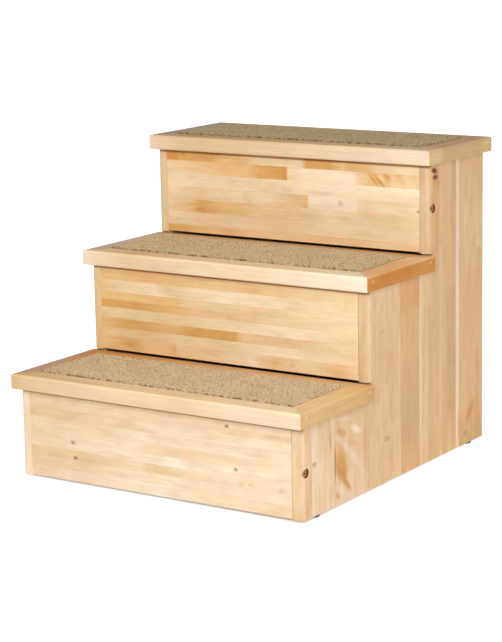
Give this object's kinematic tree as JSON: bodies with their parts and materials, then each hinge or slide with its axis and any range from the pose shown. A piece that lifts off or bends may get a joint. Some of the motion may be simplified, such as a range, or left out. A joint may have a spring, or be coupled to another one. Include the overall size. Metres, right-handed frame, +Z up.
{
  "type": "pet stairs",
  "caption": "Pet stairs with stepped edge-glued side panels, overhanging mitred tread frames, inlaid carpet and a closed back, standing on low glides.",
  "frame": {"origin": "on the floor, under the middle of the plan outline", "axes": "+X to the right as seen from the front, -Y to the front where the lowest tread is, +Z up"},
  "size_m": [0.4, 0.445, 0.377],
  "materials": {
    "panel_board": "satin varnish on edge-glued hardwood staves",
    "riser_board": "satin varnish on edge-glued hardwood staves",
    "tread_rail": "satin varnish",
    "plywood": "plain sanded",
    "inner_wood": "plain sanded",
    "dowel_wood": "end grain under varnish",
    "carpet": "short cut pile",
    "bronze_screw": "dull bronze coating",
    "glide": "matt black"
  },
  "bodies": {
    "root": {"back_panel": "plywood", "cleat_lower_left": "inner_wood", "cleat_lower_right": "inner_wood", "cleat_middle_left": "inner_wood", "cleat_middle_right": "inner_wood", "cleat_upper_left": "inner_wood", "cleat_upper_right": "inner_wood", "glides": "glide", "rear_rail_tenons": "inner_wood", "rear_stretcher": "inner_wood", "rear_top_rail": "inner_wood", "riser_lower": "riser_board", "riser_middle": "riser_board", "riser_screws": "bronze_screw", "riser_tenons": "inner_wood", "riser_upper": "riser_board", "side_panel_left": "panel_board", "side_panel_right": "panel_board", "tread_lower_back_rail": "tread_rail", "tread_lower_base_board": "plywood", "tread_lower_carpet": "carpet", "tread_lower_front_rail": "tread_rail", "tread_lower_left_rail": "tread_rail", "tread_lower_mitre_pins": "dowel_wood", "tread_lower_right_rail": "tread_rail", "tread_middle_back_rail": "tread_rail", "tread_middle_base_board": "plywood", "tread_middle_carpet": "carpet", "tread_middle_front_rail": "tread_rail", "tread_middle_left_rail": "tread_rail", "tread_middle_mitre_pins": "dowel_wood", "tread_middle_right_rail": "tread_rail", "tread_upper_back_rail": "tread_rail", "tread_upper_base_board": "plywood", "tread_upper_carpet": "carpet", "tread_upper_front_rail": "tread_rail", "tread_upper_left_rail": "tread_rail", "tread_upper_mitre_pins": "dowel_wood", "tread_upper_right_rail": "tread_rail"}
  },
  "joints": []
}
